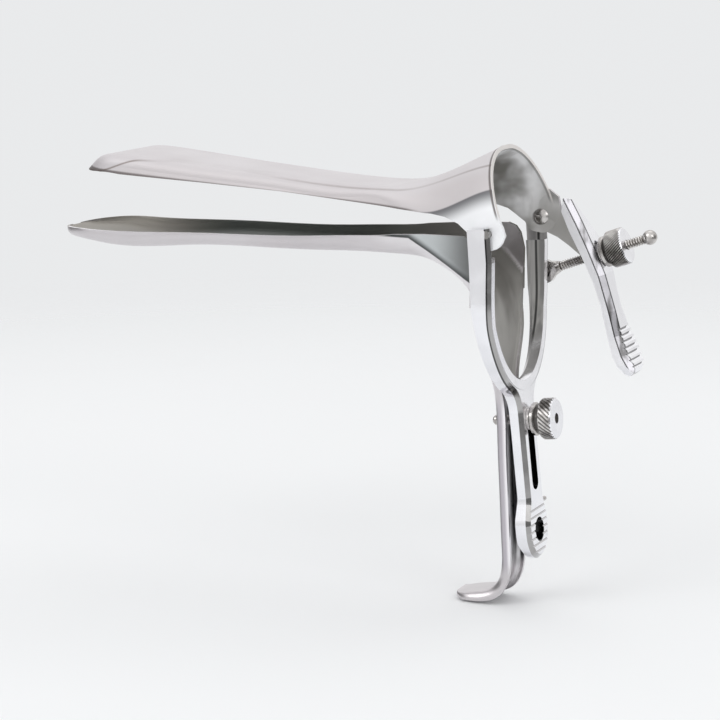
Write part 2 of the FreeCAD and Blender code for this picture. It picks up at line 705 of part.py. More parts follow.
def lever_shape():
    """The strip between its inner face and the outline of its outer edge."""
    inner, wide = size("lever_inner"), size("lever_width")
    waist, pad = size("lever_waist"), size("lever_pad_width")
    rear = [(6.6, 5.6), (8.6, 5.2), (12.0, -0.9), (15.6, -8.0), (19.2, -15.8), (22.5, -26.1), (24.4, -33.0),
            (26.4, -38.4), (28.6, -42.0), (28.5, -43.9)]
    front = [(27.4, -44.9), (25.8, -44.3), (23.9, -42.2), (22.3, -39.2), (20.6, -33.1), (18.6, -25.1), (16.2, -18.3),
             (12.4, -10.8), (8.6, -3.8), (6.2, 1.6)]
    strip = prism(rear + front, 60)
    # Outline seen from the rear: Y of the outer edge against Z
    outer = [(inner + 1.6, 8.0), (inner + 2.6, 5.0), (inner + 5.6, 0.0), (inner + wide, -6.5), (inner + wide, -14.0),
             (inner + waist + 0.4, -21.0), (inner + waist, -26.0), (inner + waist + 1.6, -30.5),
             (inner + pad - 1.2, -34.5), (inner + pad, -38.0), (inner + pad - 1.2, -41.0),
             (inner + pad - 3.6, -43.2), (inner + pad - 6.4, -46.0)]
    inward = [(inner + 1.6, -46.0), (inner, -42.0), (inner, 8.0)]
    face = Part.Face(Part.makePolygon([V(-20, y, z) for y, z in outer + inward + outer[:1]]))
    shape = strip.common(face.extrude(V(80, 0, 0)))
    # Bevel along the rear inner edge, and grooves across the thumb's end
    rear_edges = [e for e in shape.Edges
                  if e.Length > 2 * size("lever_bevel")
                  and all(near(v.Y, inner) and any(near(v.X, x) and near(v.Z, z) for x, z in rear)
                          for v in e.Vertexes)]
    shape = shape.makeChamfer(size("lever_bevel"), rear_edges)
    deep, half_open = size("lever_groove_depth"), size("lever_groove_half")
    for k in range(int(size("lever_grooves"))):
        level = -size("lever_groove_top") - k * size("lever_groove_pitch")
        at = rear_at(rear, level)
        shape = shape.cut(prism([(at - deep, level), (at + deep, level + 2 * half_open),
                                 (at + deep, level - 2 * half_open)], 60))
    # Slot that the rod passes through
    start = rivet_centre()
    way = rod_way()
    middle = start + way * (size("nut_start") - size("washer_thick") - 3.0)
    middle = V(middle.x, size("rod_side"), middle.z)
    width, length = size("lever_slot"), size("lever_slot_length")
    across = V(-way.z, 0, way.x)
    ends = [middle + across * (s * (length - width) / 2) - way * 8 for s in (-1, 1)]
    slot = Part.makeCylinder(width / 2, 16, ends[0], way).fuse(Part.makeCylinder(width / 2, 16, ends[1], way))
    bar = Part.makeBox(16, width, length - width, V(0, -width / 2, 0))
    bar.Placement = FreeCAD.Placement(ends[0], lean(size("rod_lean")))
    return shape.cut(slot.fuse(bar))


def rod_way():
    angle = math.radians(size("rod_lean"))
    return V(math.cos(angle), 0, math.sin(angle))


def rivet_centre():
    """Where the eye's pin stands: against the front of the eye's hole."""
    slack = (size("eye_hole") - size("eye_pin")) / 2 - size("fit_gap")
    return V(size("eye_x"), size("rod_side"), size("eye_z")) - rod_way() * slack


thumb_lever = solid_feature("thumb_lever", lever_shape(), UPRIGHT)


# Adjuster: everything on the rod is drawn along X from the eye's centre

ROD_PLACE = FreeCAD.Placement(SHIFT + V(size("eye_x"), size("rod_side"), size("eye_z")), lean(size("rod_lean")))


def make_rod():
    body = body_named("adjuster_rod", ROD_PLACE)
    eye = sketch_on(body, "eye_rings", "XZ_Plane")
    circle(eye, "0 mm", "0 mm", "sizes.eye_outer / 2")
    circle(eye, "0 mm", "0 mm", "sizes.eye_hole / 2")
    ring = both_ways(body, "Pad", "eye_ring", eye, "sizes.eye_thick")
    neck = sketch_on(body, "neck_side", "XZ_Plane")
    r = "sizes.rod_thread / 2"
    outline(neck, [("sizes.eye_outer / 2 - 1.2", "sizes.eye_outer / 2 - 1.1"), ("sizes.eye_outer / 2 + 1.6", r),
                   ("sizes.eye_outer / 2 + 1.6", "-" + r),
                   ("sizes.eye_outer / 2 - 1.2", "-sizes.eye_outer / 2 + 1.1")])
    both_ways(body, "Pad", "eye_neck", neck, "sizes.eye_thick")
    bar = sketch_on(body, "rod_profile", "XY_Plane")
    outline(bar, [("sizes.eye_outer / 2 + 0.4", "0"), ("sizes.eye_outer / 2 + 0.4", r),
                  ("sizes.rod_length", r), ("sizes.rod_length", "0")])
    revolved(body, "rod_turned", bar)
    doc.recompute()
    return body


adjuster_rod = make_rod()


def turned_piece(name, place, corners):
    """Body turned about its own X axis from a half outline."""
    body = body_named(name, place)
    sketch = sketch_on(body, name + "_profile", "XY_Plane")
    outline(sketch, corners)
    feature = revolved(body, name + "_turned", sketch)
    doc.recompute()
    return body, feature


BORE = "sizes.rod_thread / 2 + sizes.fit_gap"
NUT_SIDE = "sizes.nut_start + sizes.nut_neck"
adjuster_washer, _ = turned_piece("adjuster_washer", ROD_PLACE, [
    ("sizes.nut_start - sizes.washer_thick - sizes.washer_boss", BORE),
    ("sizes.nut_start - sizes.washer_thick - sizes.washer_boss", "sizes.washer_boss_round / 2"),
    ("sizes.nut_start - sizes.washer_thick", "sizes.washer_boss_round / 2"),
    ("sizes.nut_start - sizes.washer_thick", "sizes.washer_round / 2 - sizes.washer_chamfer"),
    ("sizes.nut_start - sizes.washer_thick + sizes.washer_chamfer", "sizes.washer_round / 2"),
    ("sizes.nut_start - sizes.washer_chamfer", "sizes.washer_round / 2"),
    ("sizes.nut_start", "sizes.washer_round / 2 - sizes.washer_chamfer"),
    ("sizes.nut_start", BORE),
])
adjuster_nut, _ = turned_piece("adjuster_nut", ROD_PLACE, [
    ("sizes.nut_start", BORE),
    ("sizes.nut_start", "sizes.nut_neck_round / 2"),
    (NUT_SIDE, "sizes.nut_neck_round / 2"),
    (NUT_SIDE, "sizes.nut_round / 2 - sizes.nut_chamfer"),
    (NUT_SIDE + " + sizes.nut_chamfer", "sizes.nut_round / 2"),
    (NUT_SIDE + " + sizes.nut_head - sizes.nut_chamfer", "sizes.nut_round / 2"),
    (NUT_SIDE + " + sizes.nut_head", "sizes.nut_round / 2 - sizes.nut_chamfer"),
    (NUT_SIDE + " + sizes.nut_head", BORE),
])

rod_ball = doc.addObject("Part::Sphere", "rod_ball_form")
rod_ball.setExpression("Radius", "sizes.ball_round / 2")
ball_hole = doc.addObject("Part::Cylinder", "rod_ball_hole")
ball_hole.setExpression("Radius", "sizes.rod_thread / 2")
ball_hole.setExpression("Height", "sizes.ball_round / 2")
ball_hole.Placement = FreeCAD.Placement(V(0, 0, 0), FreeCAD.Rotation(V(0, 1, 0), -90))
ball_piece = doc.addObject("Part::Cut", "rod_ball")
ball_piece.Base = rod_ball
ball_piece.Tool = ball_hole
ball_piece.Label = "rod_ball"
ball_piece.Placement = FreeCAD.Placement(
    ROD_PLACE.multVec(V(size("rod_length"), 0, 0)), lean(size("rod_lean")))

# Rivet of the eye: a pin in the arm, a head outside the eye

PIN_PLACE = FreeCAD.Placement(SHIFT + rivet_centre(), FreeCAD.Rotation(V(0, 0, 1), 90))
eye_rivet, _ = turned_piece("eye_rivet", PIN_PLACE, [
    (PIN_END + " - sizes.rod_side", "0"),
    (PIN_END + " - sizes.rod_side", "sizes.eye_pin / 2"),
    ("sizes.eye_thick / 2 + sizes.side_gap", "sizes.eye_pin / 2"),
    ("sizes.eye_thick / 2 + sizes.side_gap", "sizes.eye_head / 2"),
    ("sizes.eye_thick / 2 + sizes.side_gap + sizes.eye_dome", "sizes.eye_head / 2 - sizes.eye_dome / 2"),
    ("sizes.eye_thick / 2 + sizes.side_gap + 2 * sizes.eye_dome", "0"),
])


# Clamp: everything on the stud is drawn along X from the stem's middle plane

CLAMP_X, CLAMP_Z = turned(YOKE_LEAN, 0, -size("clamp_level"))
CLAMP_PLACE = FreeCAD.Placement(SHIFT + V(CLAMP_X, 0, CLAMP_Z), lean(YOKE_LEAN))
SEAT = "(-sizes.stem_rear + sizes.fit_gap)"
FACE = SEAT[:-1] + " + sizes.clamp_boss)"
NUT = FACE[:-1] + " + sizes.clamp_washer_thick)"
KNOB = NUT[:-1] + " + sizes.clamp_neck)"
STUD_BORE = "sizes.stud_round / 2 + sizes.fit_gap"
clamp_washer, _ = turned_piece("clamp_washer", CLAMP_PLACE, [
    (SEAT, STUD_BORE),
    (SEAT, "sizes.clamp_boss_round / 2"),
    (FACE, "sizes.clamp_boss_round / 2"),
    (FACE, "sizes.clamp_washer_round / 2 - sizes.washer_chamfer"),
    (FACE + " + sizes.washer_chamfer", "sizes.clamp_washer_round / 2"),
    (NUT + " - sizes.washer_chamfer", "sizes.clamp_washer_round / 2"),
    (NUT, "sizes.clamp_washer_round / 2 - sizes.washer_chamfer"),
    (NUT, STUD_BORE),
])
clamp_nut, _ = turned_piece("clamp_nut", CLAMP_PLACE, [
    (NUT, STUD_BORE),
    (NUT, "sizes.clamp_neck_round / 2"),
    (KNOB, "sizes.clamp_neck_round / 2"),
    (KNOB, "sizes.clamp_round / 2 - sizes.nut_chamfer"),
    (KNOB + " + sizes.nut_chamfer", "sizes.clamp_round / 2"),
    (KNOB + " + sizes.clamp_head - sizes.nut_chamfer", "sizes.clamp_round / 2"),
    (KNOB + " + sizes.clamp_head", "sizes.clamp_round / 2 - sizes.nut_chamfer"),
    (KNOB + " + sizes.clamp_head", STUD_BORE),
])
LEAN = "(sizes.yoke_lean * 1 deg)"
FRONT = "(sizes.handle_front - (sizes.clamp_level * cos(%s) - 50) * tan(sizes.handle_lean * 1 deg))" % LEAN
HEAD = "(-(sizes.clamp_level * sin(%s) + %s) / cos(%s) - 2 * sizes.fit_gap)" % (LEAN, FRONT, LEAN)
clamp_stud, _ = turned_piece("clamp_stud", CLAMP_PLACE, [
    (HEAD + " - sizes.stud_end", "0"),
    (HEAD + " - sizes.stud_end", "sizes.stud_round / 2 - sizes.nut_chamfer"),
    (HEAD + " - sizes.stud_end + sizes.nut_chamfer", "sizes.stud_round / 2 - sizes.fit_gap"),
    (HEAD + " - sizes.stud_head_thick", "sizes.stud_round / 2 - sizes.fit_gap"),
    (HEAD + " - sizes.stud_head_thick", "sizes.stud_head / 2 - sizes.nut_chamfer"),
    (HEAD, "sizes.stud_head / 2"),
    (HEAD, "sizes.stud_round / 2"),
    (KNOB + " + sizes.clamp_head - sizes.stud_sunk", "sizes.stud_round / 2"),
    (KNOB + " + sizes.clamp_head - sizes.stud_sunk", "0"),
])

# Guide pin: turned about the yoke's Y direction

GUIDE_PLACE = ON_YOKE.multiply(FreeCAD.Placement(
    V(-size("stem_rear") - size("guide_inset"), 0, -size("guide_level")), FreeCAD.Rotation(V(0, 0, 1), 90)))
guide_pin, _ = turned_piece("guide_pin", GUIDE_PLACE, [
    (GUIDE_START, "0"),
    (GUIDE_START, "sizes.guide_round / 2"),
    ("sizes.guide_reach - sizes.guide_chamfer", "sizes.guide_round / 2"),
    ("sizes.guide_reach", "sizes.guide_round / 2 - sizes.guide_chamfer"),
    ("sizes.guide_reach", "0"),
])

PIECES = [lower_blade, upper_blade, yoke, *rivets, thumb_lever, adjuster_rod, adjuster_washer, adjuster_nut,
          ball_piece, eye_rivet, clamp_washer, clamp_nut, clamp_stud, guide_pin]

doc.recompute()
for item in doc.Objects:
    if "Invalid" in item.State or "Error" in item.State:
        raise RuntimeError("%s is in state %s" % (item.Label, item.State))
for piece in PIECES:
    shape = piece.Shape
    if shape.isNull() or not shape.isValid() or len(shape.Solids) != 1:
        raise RuntimeError("%s has %d solids, valid %s" % (piece.Label, len(shape.Solids), shape.isValid()))
for piece in PIECES:
    piece.Shape.exportStep("parts/%s.step" % piece.Label)
    print("%-18s %9.1f mm3" % (piece.Label, piece.Shape.Volume))
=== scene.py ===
import json
import math

import bpy
from mathutils import Matrix, Vector

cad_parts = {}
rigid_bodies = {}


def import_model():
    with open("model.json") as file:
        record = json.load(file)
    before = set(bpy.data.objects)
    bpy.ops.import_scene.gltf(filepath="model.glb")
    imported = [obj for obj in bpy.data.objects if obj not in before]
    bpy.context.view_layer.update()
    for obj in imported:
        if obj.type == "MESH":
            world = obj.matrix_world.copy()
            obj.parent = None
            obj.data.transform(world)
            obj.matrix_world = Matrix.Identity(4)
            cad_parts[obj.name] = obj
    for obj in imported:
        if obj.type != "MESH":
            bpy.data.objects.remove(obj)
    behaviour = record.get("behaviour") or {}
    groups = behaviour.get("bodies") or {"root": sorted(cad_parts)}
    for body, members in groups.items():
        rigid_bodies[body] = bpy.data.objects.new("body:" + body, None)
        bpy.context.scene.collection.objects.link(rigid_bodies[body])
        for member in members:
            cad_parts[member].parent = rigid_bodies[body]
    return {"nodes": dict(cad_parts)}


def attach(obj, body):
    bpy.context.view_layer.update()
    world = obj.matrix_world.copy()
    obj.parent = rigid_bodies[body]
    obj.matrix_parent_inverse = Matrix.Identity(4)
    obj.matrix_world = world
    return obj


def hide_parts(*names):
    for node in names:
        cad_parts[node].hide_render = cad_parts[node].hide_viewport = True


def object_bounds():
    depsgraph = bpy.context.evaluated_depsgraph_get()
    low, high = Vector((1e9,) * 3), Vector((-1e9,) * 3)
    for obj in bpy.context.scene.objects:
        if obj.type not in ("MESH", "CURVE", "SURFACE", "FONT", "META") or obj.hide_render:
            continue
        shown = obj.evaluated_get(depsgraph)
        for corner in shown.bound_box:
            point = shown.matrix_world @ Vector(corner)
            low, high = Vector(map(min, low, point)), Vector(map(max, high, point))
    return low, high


for leftover in list(bpy.data.objects):
    bpy.data.objects.remove(leftover)

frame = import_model()
CAD_LOW, CAD_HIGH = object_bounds()

bl_info = {
    "name": "Bivalve Speculum",
    "version": (1, 0, 0),
    "blender": (4, 5, 0),
    "location": "3D View > Sidebar > Speculum",
    "description": "Finishes, knurls and threads for a sliding-yoke bivalve speculum",
    "category": "Object",
}

MM = 0.001

# Axes that turned pieces share with the solids: a point on each, and its direction
ROD_EYE = Vector((-6.666, 24.9, 70.315)) * MM
ROD_WAY = Vector((0.938493, 0.0, 0.345298))
CLAMP_SEAT = Vector((-0.398, 0.0, 31.849)) * MM
CLAMP_WAY = Vector((0.993961, 0.0, 0.109734))

# The hinge's axis crosses the middle plane here, in millimetres as all places in the finishes are
HINGE_X, HINGE_Z = -6.47, 86.8

# Camera of the photograph: where it looks, from which side and height, and how far off
CAMERA_TARGET = Vector((-43.534, -24.049, 49.624)) * MM
CAMERA_AZIMUTH, CAMERA_ELEVATION = math.radians(24), math.radians(10.5)
CAMERA_DISTANCE = 700 * MM
CAMERA_LENS, CAMERA_SENSOR = 125.0, 36.0

# Floor: its width, how far it lies below the object, and the squares of the distances, in square
# metres, between which it fades out
FLOOR_WIDTH, FLOOR_GAP = 6.0, 0.5 * MM
FLOOR_FADE = (0.03, 0.42)

# The yoke's arms, in millimetres: half width outside, and the ellipse that closes the fork below
ARM_REACH, ARCH_DROP, ARCH_HEIGHT = 23.8, 19.0, 29.2

# Noise scales that make fine brush marks along the blades
BRUSHED = (60, 900, 900)

# Black for painted dark reflection lines and for painted shade on holes' walls
PAINTED_SHADE_BLACK = (0.03, 0.03, 0.03)


# Shader maths

class Value:
    """A socket of a node tree, which takes part in sums as a number does."""

    def __init__(self, nodes, socket):
        self.nodes = nodes
        self.socket = socket

    def maths(self, operation, first, second):
        return self.nodes.node("ShaderNodeMath", {"operation": operation}, {0: first, 1: second})

    def __add__(self, other):
        return self.maths("ADD", self, other)

    __radd__ = __add__

    def __sub__(self, other):
        return self.maths("SUBTRACT", self, other)

    def __rsub__(self, other):
        return self.maths("SUBTRACT", other, self)

    def __mul__(self, other):
        return self.maths("MULTIPLY", self, other)

    __rmul__ = __mul__

    def __truediv__(self, other):
        return self.maths("DIVIDE", self, other)

    def __abs__(self):
        return self.maths("ABSOLUTE", self, 0.0)

    def least(self, other):
        return self.maths("MINIMUM", self, other)

    def most(self, other):
        return self.maths("MAXIMUM", self, other)

    def rise(self, low, high, to_low=0.0, to_high=1.0):
        """Smooth step from to_low at low to to_high at high."""
        return self.nodes.node(
            "ShaderNodeMapRange", {"interpolation_type": "SMOOTHSTEP"},
            {"Value": self, "From Min": low, "From Max": high, "To Min": to_low, "To Max": to_high})

    def fall(self, low, high, rest=0.0):
        """Smooth step from 1 at low down to the rest at high."""
        return self.rise(low, high, 1.0, rest)

    def near(self, inner, outer):
        """1 closer to zero than inner, and 0 beyond outer."""
        return abs(self).fall(inner, outer)


class Nodes:
    """A node tree, and the nodes that materials and the world make in it."""

    def __init__(self, tree):
        self.tree = tree
        self.tree.nodes.clear()

    def node(self, kind, settings=None, sockets=None, output=0):
        """A node with its settings, then its sockets set to numbers or linked; gives one output."""
        made = self.tree.nodes.new(kind)
        for key, value in (settings or {}).items():
            setattr(made, key, value)
        for key, value in (sockets or {}).items():
            if isinstance(value, Value):
                self.tree.links.new(value.socket, made.inputs[key])
            else:
                made.inputs[key].default_value = value
        return Value(self, made.outputs[output]) if made.outputs else None

    def parts(self, vector):
        split = self.node("ShaderNodeSeparateXYZ", {}, {0: vector})
        return [Value(self, socket) for socket in split.socket.node.outputs]


class Finish(Nodes):
    """A material: one shader and the nodes that feed it."""

    def __init__(self, name, colour, metallic=1.0, roughness=0.2):
        self.material = bpy.data.materials.new(name)
        self.material.use_nodes = True
        super().__init__(self.material.node_tree)
        surface = self.node("ShaderNodeBsdfPrincipled", {}, {
            "Base Color": (*colour, 1.0), "Metallic": metallic, "Roughness": roughness}, "BSDF")
        self.shader = surface.socket.node
        self.node("ShaderNodeOutputMaterial", {}, {"Surface": surface})

    def place(self):
        """Object coordinates as a vector, in metres."""
        return self.node("ShaderNodeTexCoord", output="Object")

    def millimetres(self, place):
        """A place's x, y and z, in millimetres."""
        return [part * 1000.0 for part in self.parts(place)]

    def facing(self):
        """The parts of the surface's normal, in the object's own axes."""
        return self.parts(self.node("ShaderNodeTexCoord", output="Normal"))

    def grain(self, vector, scale, detail=2.0, rough=0.5):
        """Noise; three scales in place of one stretch it."""
        if isinstance(scale, tuple):
            vector = self.node("ShaderNodeMapping", {"vector_type": "POINT"},
                               {"Vector": vector, "Scale": scale})
            scale = 1.0
        return self.node("ShaderNodeTexNoise", {}, {
            "Vector": vector, "Scale": scale, "Detail": detail, "Roughness": rough}, "Fac")

    def blend(self, mask, first, second):
        """Colour that goes from first to second as the mask goes from 0 to 1."""
        first, second = (tone if isinstance(tone, Value) else (*tone, 1.0) for tone in (first, second))
        # The mix node has sockets for each kind of data: inputs 6 and 7 and output 2 are for colours
        return self.node("ShaderNodeMix", {"data_type": "RGBA"}, {0: mask, 6: first, 7: second}, 2)

    def clouded(self, place, scale, shade, colour):
        """Colour with duller clouds in it."""
        return self.blend(self.grain(place, scale).rise(0.3, 0.7), shade, colour)

    def give(self, socket, value):
        self.tree.links.new(value.socket, self.shader.inputs[socket])

    def relief(self, height, strength, depth):
        self.give("Normal", self.node(
            "ShaderNodeBump", {}, {"Height": height, "Strength": strength, "Distance": depth}))


# Finishes

def upper_sheet(settings):
    """Upper blade: satin outside with painted shade along the crease of its shoulder, and painted
    reflections and shade mottled inside the arch.
    """
    finish = Finish("upper_sheet", settings.blade_colour)
    place = finish.place()
    x, y, z = finish.millimetres(place)
    _, ny, nz = finish.facing()
    cloud = finish.grain(place, 45.0, 3.0)
    fine = finish.grain(place, BRUSHED)
    near_side = y.fall(-9, -5)

    # The outside faces away from the hinge's axis
    outside = (ny * y + nz * (z - HINGE_Z)).rise(-1.2, 0.6)

    # The crease follows the shoulder from the tip to the arch: painted shade darkens the crease, and the
    # blade's side below it is painted darker and warmer as shade
    shoulder = 98.1 + x.rise(-132, -117, 0.0, 3.7) - x.rise(-112, -48, 0.0, 5.3) + x.rise(-38, -3, 0.0, 9.0)
    crease = (shoulder - z).near(0.0, 0.45) * near_side * nz.fall(0.6, 0.9, 0.1)
    under = (shoulder - z).rise(-0.4, 3.0) * near_side
    skin = finish.blend(cloud.rise(0.3, 0.7), settings.blade_shade, settings.blade_colour)
    skin = finish.blend(under * 0.55, skin, settings.blade_side_shade)
    skin = finish.blend(crease * 0.9, skin, settings.crease_shade)

    # Below the fold at the neck the sheet turns under: painted shade at the fold and a painted highlight
    # further down
    fallen = 91.2 + x.rise(-28, -3, 0.0, 8.0) - z
    neck = fallen.rise(-0.3, 0.2) * x.rise(-33, -24) * near_side
    neck_shade_and_highlight = finish.blend(fallen.rise(0.0, 5.5), (0.17, 0.17, 0.18), (0.95, 0.96, 0.98))
    skin = finish.blend(neck, skin, neck_shade_and_highlight)

    # Painted dark reflection lines: along the blade's lower edge, and before the arch's rim. The height is
    # measured from that edge, and the mouth is 0 in the plane of the rim and grows to the rear.
    height = z - 91.5 + 0.073 * (x + 36.5)
    edge = height.fall(0.25, 0.85) * x.fall(-34, -28)
    mouth = x + 0.374 * (z - HINGE_Z) + 1.57
    arch = z.rise(90, 93)
    lip = mouth.rise(-1.1, -0.7) * mouth.fall(-0.35, -0.15) * arch
    skin = finish.blend(edge.most(lip) * 0.85, skin, (0.12, 0.10, 0.095))

    # Inside: painted reflection patches that grow brighter to the rear, grey painted shade on the ears,
    # darker painted shade at the rim
    rearward = x.rise(-19, -4, -0.12, 0.26) + z.rise(86, 106, -0.04, 0.08)
    mottle = finish.grain(place, (62, 48, 75), 3.0) + rearward
    inner = finish.blend(mottle.rise(0.36, 0.66), (0.20, 0.195, 0.18), (0.95, 0.95, 0.96))
    streak = finish.grain(place, (150, 150, 60), 3.0).rise(0.50, 0.66)
    inner = finish.blend(streak * 0.35, inner, (0.30, 0.29, 0.27))
    ear = x.rise(-13, -5) * z.fall(86, 97, 0.15)
    ear_shade = finish.blend(cloud.rise(0.4, 0.65), (0.32, 0.31, 0.29), (0.46, 0.45, 0.43))
    inner = finish.blend(ear * 0.85, inner, ear_shade)
    inner = finish.blend(mouth.rise(-1.0, -0.5) * arch * 0.6, inner, (0.12, 0.11, 0.10))

    colour = finish.blend(outside, inner, skin)
    # Painted highlight: a bright line along the arch's rim
    rim = mouth.rise(-0.12, -0.04) * mouth.fall(0.4, 0.6) * arch
    finish.give("Base Color", finish.blend(rim, colour, (0.80, 0.77, 0.75)))
    finish.give("Metallic", outside.rise(0.0, 1.0, 0.35, 0.30))
    finish.give("Roughness", outside.rise(0.0, 1.0, 0.42, 0.46) + 0.06 * cloud + 0.04 * fine)
    finish.relief(fine, 0.03, 0.2 * MM)
    return finish.material


def lower_sheet(settings):
    """Lower blade: satin underneath, a brushed channel darkened with painted shade, a dull back plate,
    painted light and shade on the handle.
    """
    finish = Finish("lower_sheet", settings.blade_colour)
    place = finish.place()
    x, y, z = finish.millimetres(place)
    nx, ny, nz = finish.facing()
    cloud = finish.grain(place, 45.0, 3.0)
    fine = finish.grain(place, BRUSHED)
    skin = finish.blend(cloud.rise(0.3, 0.7), settings.blade_shade, settings.blade_colour)

    # Near cheek: a fold climbs from the handle to the bill, with a painted highlight below it and painted
    # shade above
    above = z - 83.5 + 0.56 * (x + 33.0).most(0.0)
    flank = x.rise(-46, -38) * z.rise(60, 64) * y.fall(-12, -10) * (nx + 0.6 * ny).fall(0.1, 0.4)
    cheek = above.rise(-0.25, 0.15) * flank
    cheek_shade_tone = finish.blend(x.rise(-26, -12), (0.56, 0.59, 0.60), (0.17, 0.175, 0.175))
    cheek_shade_tone = finish.blend(above.rise(0.0, 2.5) * x.rise(-41, -31), (0.05, 0.055, 0.055), cheek_shade_tone)
    skin = finish.blend(above.rise(-4, -0.5) * flank * 0.6, skin, (0.86, 0.84, 0.86))
    skin = finish.blend(cheek, skin, cheek_shade_tone)

    # Channel of the bill, painted darker to the rear as shade, and a painted highlight on the top of its
    # near wall
    bill = x.fall(-22, -14) * z.rise(66, 72)
    channel = nz.rise(0.1, 0.4).most((0.0 - ny * y).rise(3, 6)) * bill
    channel_shade = finish.blend(x.rise(-132, -100), (0.34, 0.32, 0.29), (0.10, 0.11, 0.10))
    channel_shade = finish.blend(x.rise(-62, -26), channel_shade, (0.24, 0.23, 0.215))
    colour = finish.blend(channel, skin, channel_shade)
    wall_top_highlight = nz.rise(0.7, 0.9) * y.fall(-11, -9.5) * bill
    colour = finish.blend(wall_top_highlight, colour, (0.92, 0.90, 0.92))

    # Back plate, with dull patches that are darker below
    plate = nx.rise(0.1, 0.35) * z.rise(34, 44) * x.rise(-26, -18)
    patch = finish.grain(place, (60, 60, 34), 3.0) + z.rise(46, 74, 0.22, -0.12)
    dull = finish.blend(patch.rise(0.35, 0.75), (0.15, 0.143, 0.13), (0.38, 0.37, 0.35))
    colour = finish.blend(plate, colour, dull)

    # Handle: painted light and shade, a band on its near flange from dark to bright, and the same painted
    # light and shade in its hollow.
    # Across is 0 at the flange's front edge and 1 at its rear edge.
    handle = z.fall(33, 40) * z.rise(-14, -9)
    across = (x + 10.37 - 0.0524 * (36.8 - z)) / 3.3
    flange_light_and_shade = finish.blend(across.rise(0.05, 0.45), (0.07, 0.065, 0.07), (0.56, 0.53, 0.57))
    flange_light_and_shade = finish.blend(across.rise(0.60, 0.95), flange_light_and_shade, (0.98, 0.96, 0.98))
    flange_light_and_shade = finish.blend(y.rise(0, 1), flange_light_and_shade, (0.05, 0.05, 0.05))
    colour = finish.blend(handle * ny.fall(-0.4, 0.0), colour, flange_light_and_shade)
    hollow_light_and_shade = finish.blend(y.rise(0, 4.5), (0.85, 0.83, 0.86), (0.12, 0.115, 0.12))
    hollow_light_and_shade = finish.blend(z.rise(-10, -2), (0.6, 0.59, 0.6), hollow_light_and_shade)
    colour = finish.blend(nx.rise(0.2, 0.5) * handle, colour, hollow_light_and_shade)

    finish.give("Base Color", colour)
    finish.give("Metallic", 1.0 - (0.55 * channel.most(cheek)).most(0.95 * plate))
    finish.give("Roughness", 0.24 + 0.06 * cloud + 0.04 * fine + (0.40 * plate).most(0.26 * channel))
    finish.relief(fine, 0.03, 0.2 * MM)
    return finish.material


def yoke_steel(settings):
    """Bright hand polish of the yoke, with grey painted shade on its bevels, inside its fork and in its
    grooves.
    """
    finish = Finish("bright_yoke", settings.forged_colour)
    place = finish.place()
    x, y, z = finish.millimetres(place)
    nx, ny, nz = finish.facing()
    wave = finish.grain(place, 130.0, 1.0)
    scratch = finish.grain(place, (1400, 1400, 130), 3.0)
    colour = finish.blend(wave.rise(0.35, 0.7), settings.forged_shade, settings.forged_colour)
    # Painted shade: grey on the bevels and in the thumb pad's grooves, picked by the way the surface faces
    bevel = abs(nx * ny).rise(0.22, 0.40)
    colour = finish.blend(bevel * 0.8, colour, settings.bevel_shade)
    groove = abs(nz).rise(0.30, 0.55) * nx.rise(0.25, 0.45) * z.fall(10, 14)
    colour = finish.blend(groove * 0.55, colour, settings.bevel_shade)

    # Inner sides of the arms: brushed grain, painted grey as the shade and dim reflections between the
    # arms, with a dark line down each
    inner = (ny * y).fall(-15, -9) * z.rise(42, 50)
    brushed = finish.grain(place, (420, 420, 28)).rise(0.36, 0.64)
    brushed_shade = finish.blend(brushed, (0.24, 0.235, 0.225), (0.52, 0.51, 0.49))
    colour = finish.blend(inner * 0.9, colour, brushed_shade)
    line = (x + 7.34 + 0.033 * (z - 68.4)).near(0.20, 0.55) * inner * z.rise(47, 52)
    colour = finish.blend(line * 0.9, colour, (0.02, 0.02, 0.02))

    # Painted dark reflection lines along the rear bevel. Level runs up the stem from the hinge, and reach
    # is 1 on the arms' outer side and near 0.9 where the bevel ends.
    level = (z - HINGE_Z) * CLAMP_WAY.x - (x - HINGE_X) * CLAMP_WAY.z
    sunk = (level + ARCH_DROP).least(0.0) / ARCH_HEIGHT
    reach = y * y / (ARM_REACH * ARM_REACH) + sunk * sunk
    rims = reach.rise(0.966, 0.978).most((reach - 0.893).near(0.004, 0.010))
    rims = rims * nx.rise(0.3, 0.5) * z.rise(40, 43)
    colour = finish.blend(rims * 0.85, colour, (0.04, 0.04, 0.04))

    # Painted shade: black on the walls of the thumb pad's hole, which is the origin, and of the slot
    hole = (y * y + z * z).fall(3.38 ** 2, 3.5 ** 2)
    slot = abs(y).fall(2.4, 2.6) * nx.fall(0.5, 0.8) * z.rise(8, 9) * z.fall(36, 38)
    finish.give("Base Color", finish.blend(hole.most(slot), colour, PAINTED_SHADE_BLACK))
    finish.give("Metallic", 1.0 - 0.8 * inner)
    finish.give("Roughness", 0.10 + 0.08 * wave + 0.05 * scratch + 0.2 * inner)
    finish.relief(wave + 0.04 * scratch, 0.10, 1 * MM)
    return finish.material


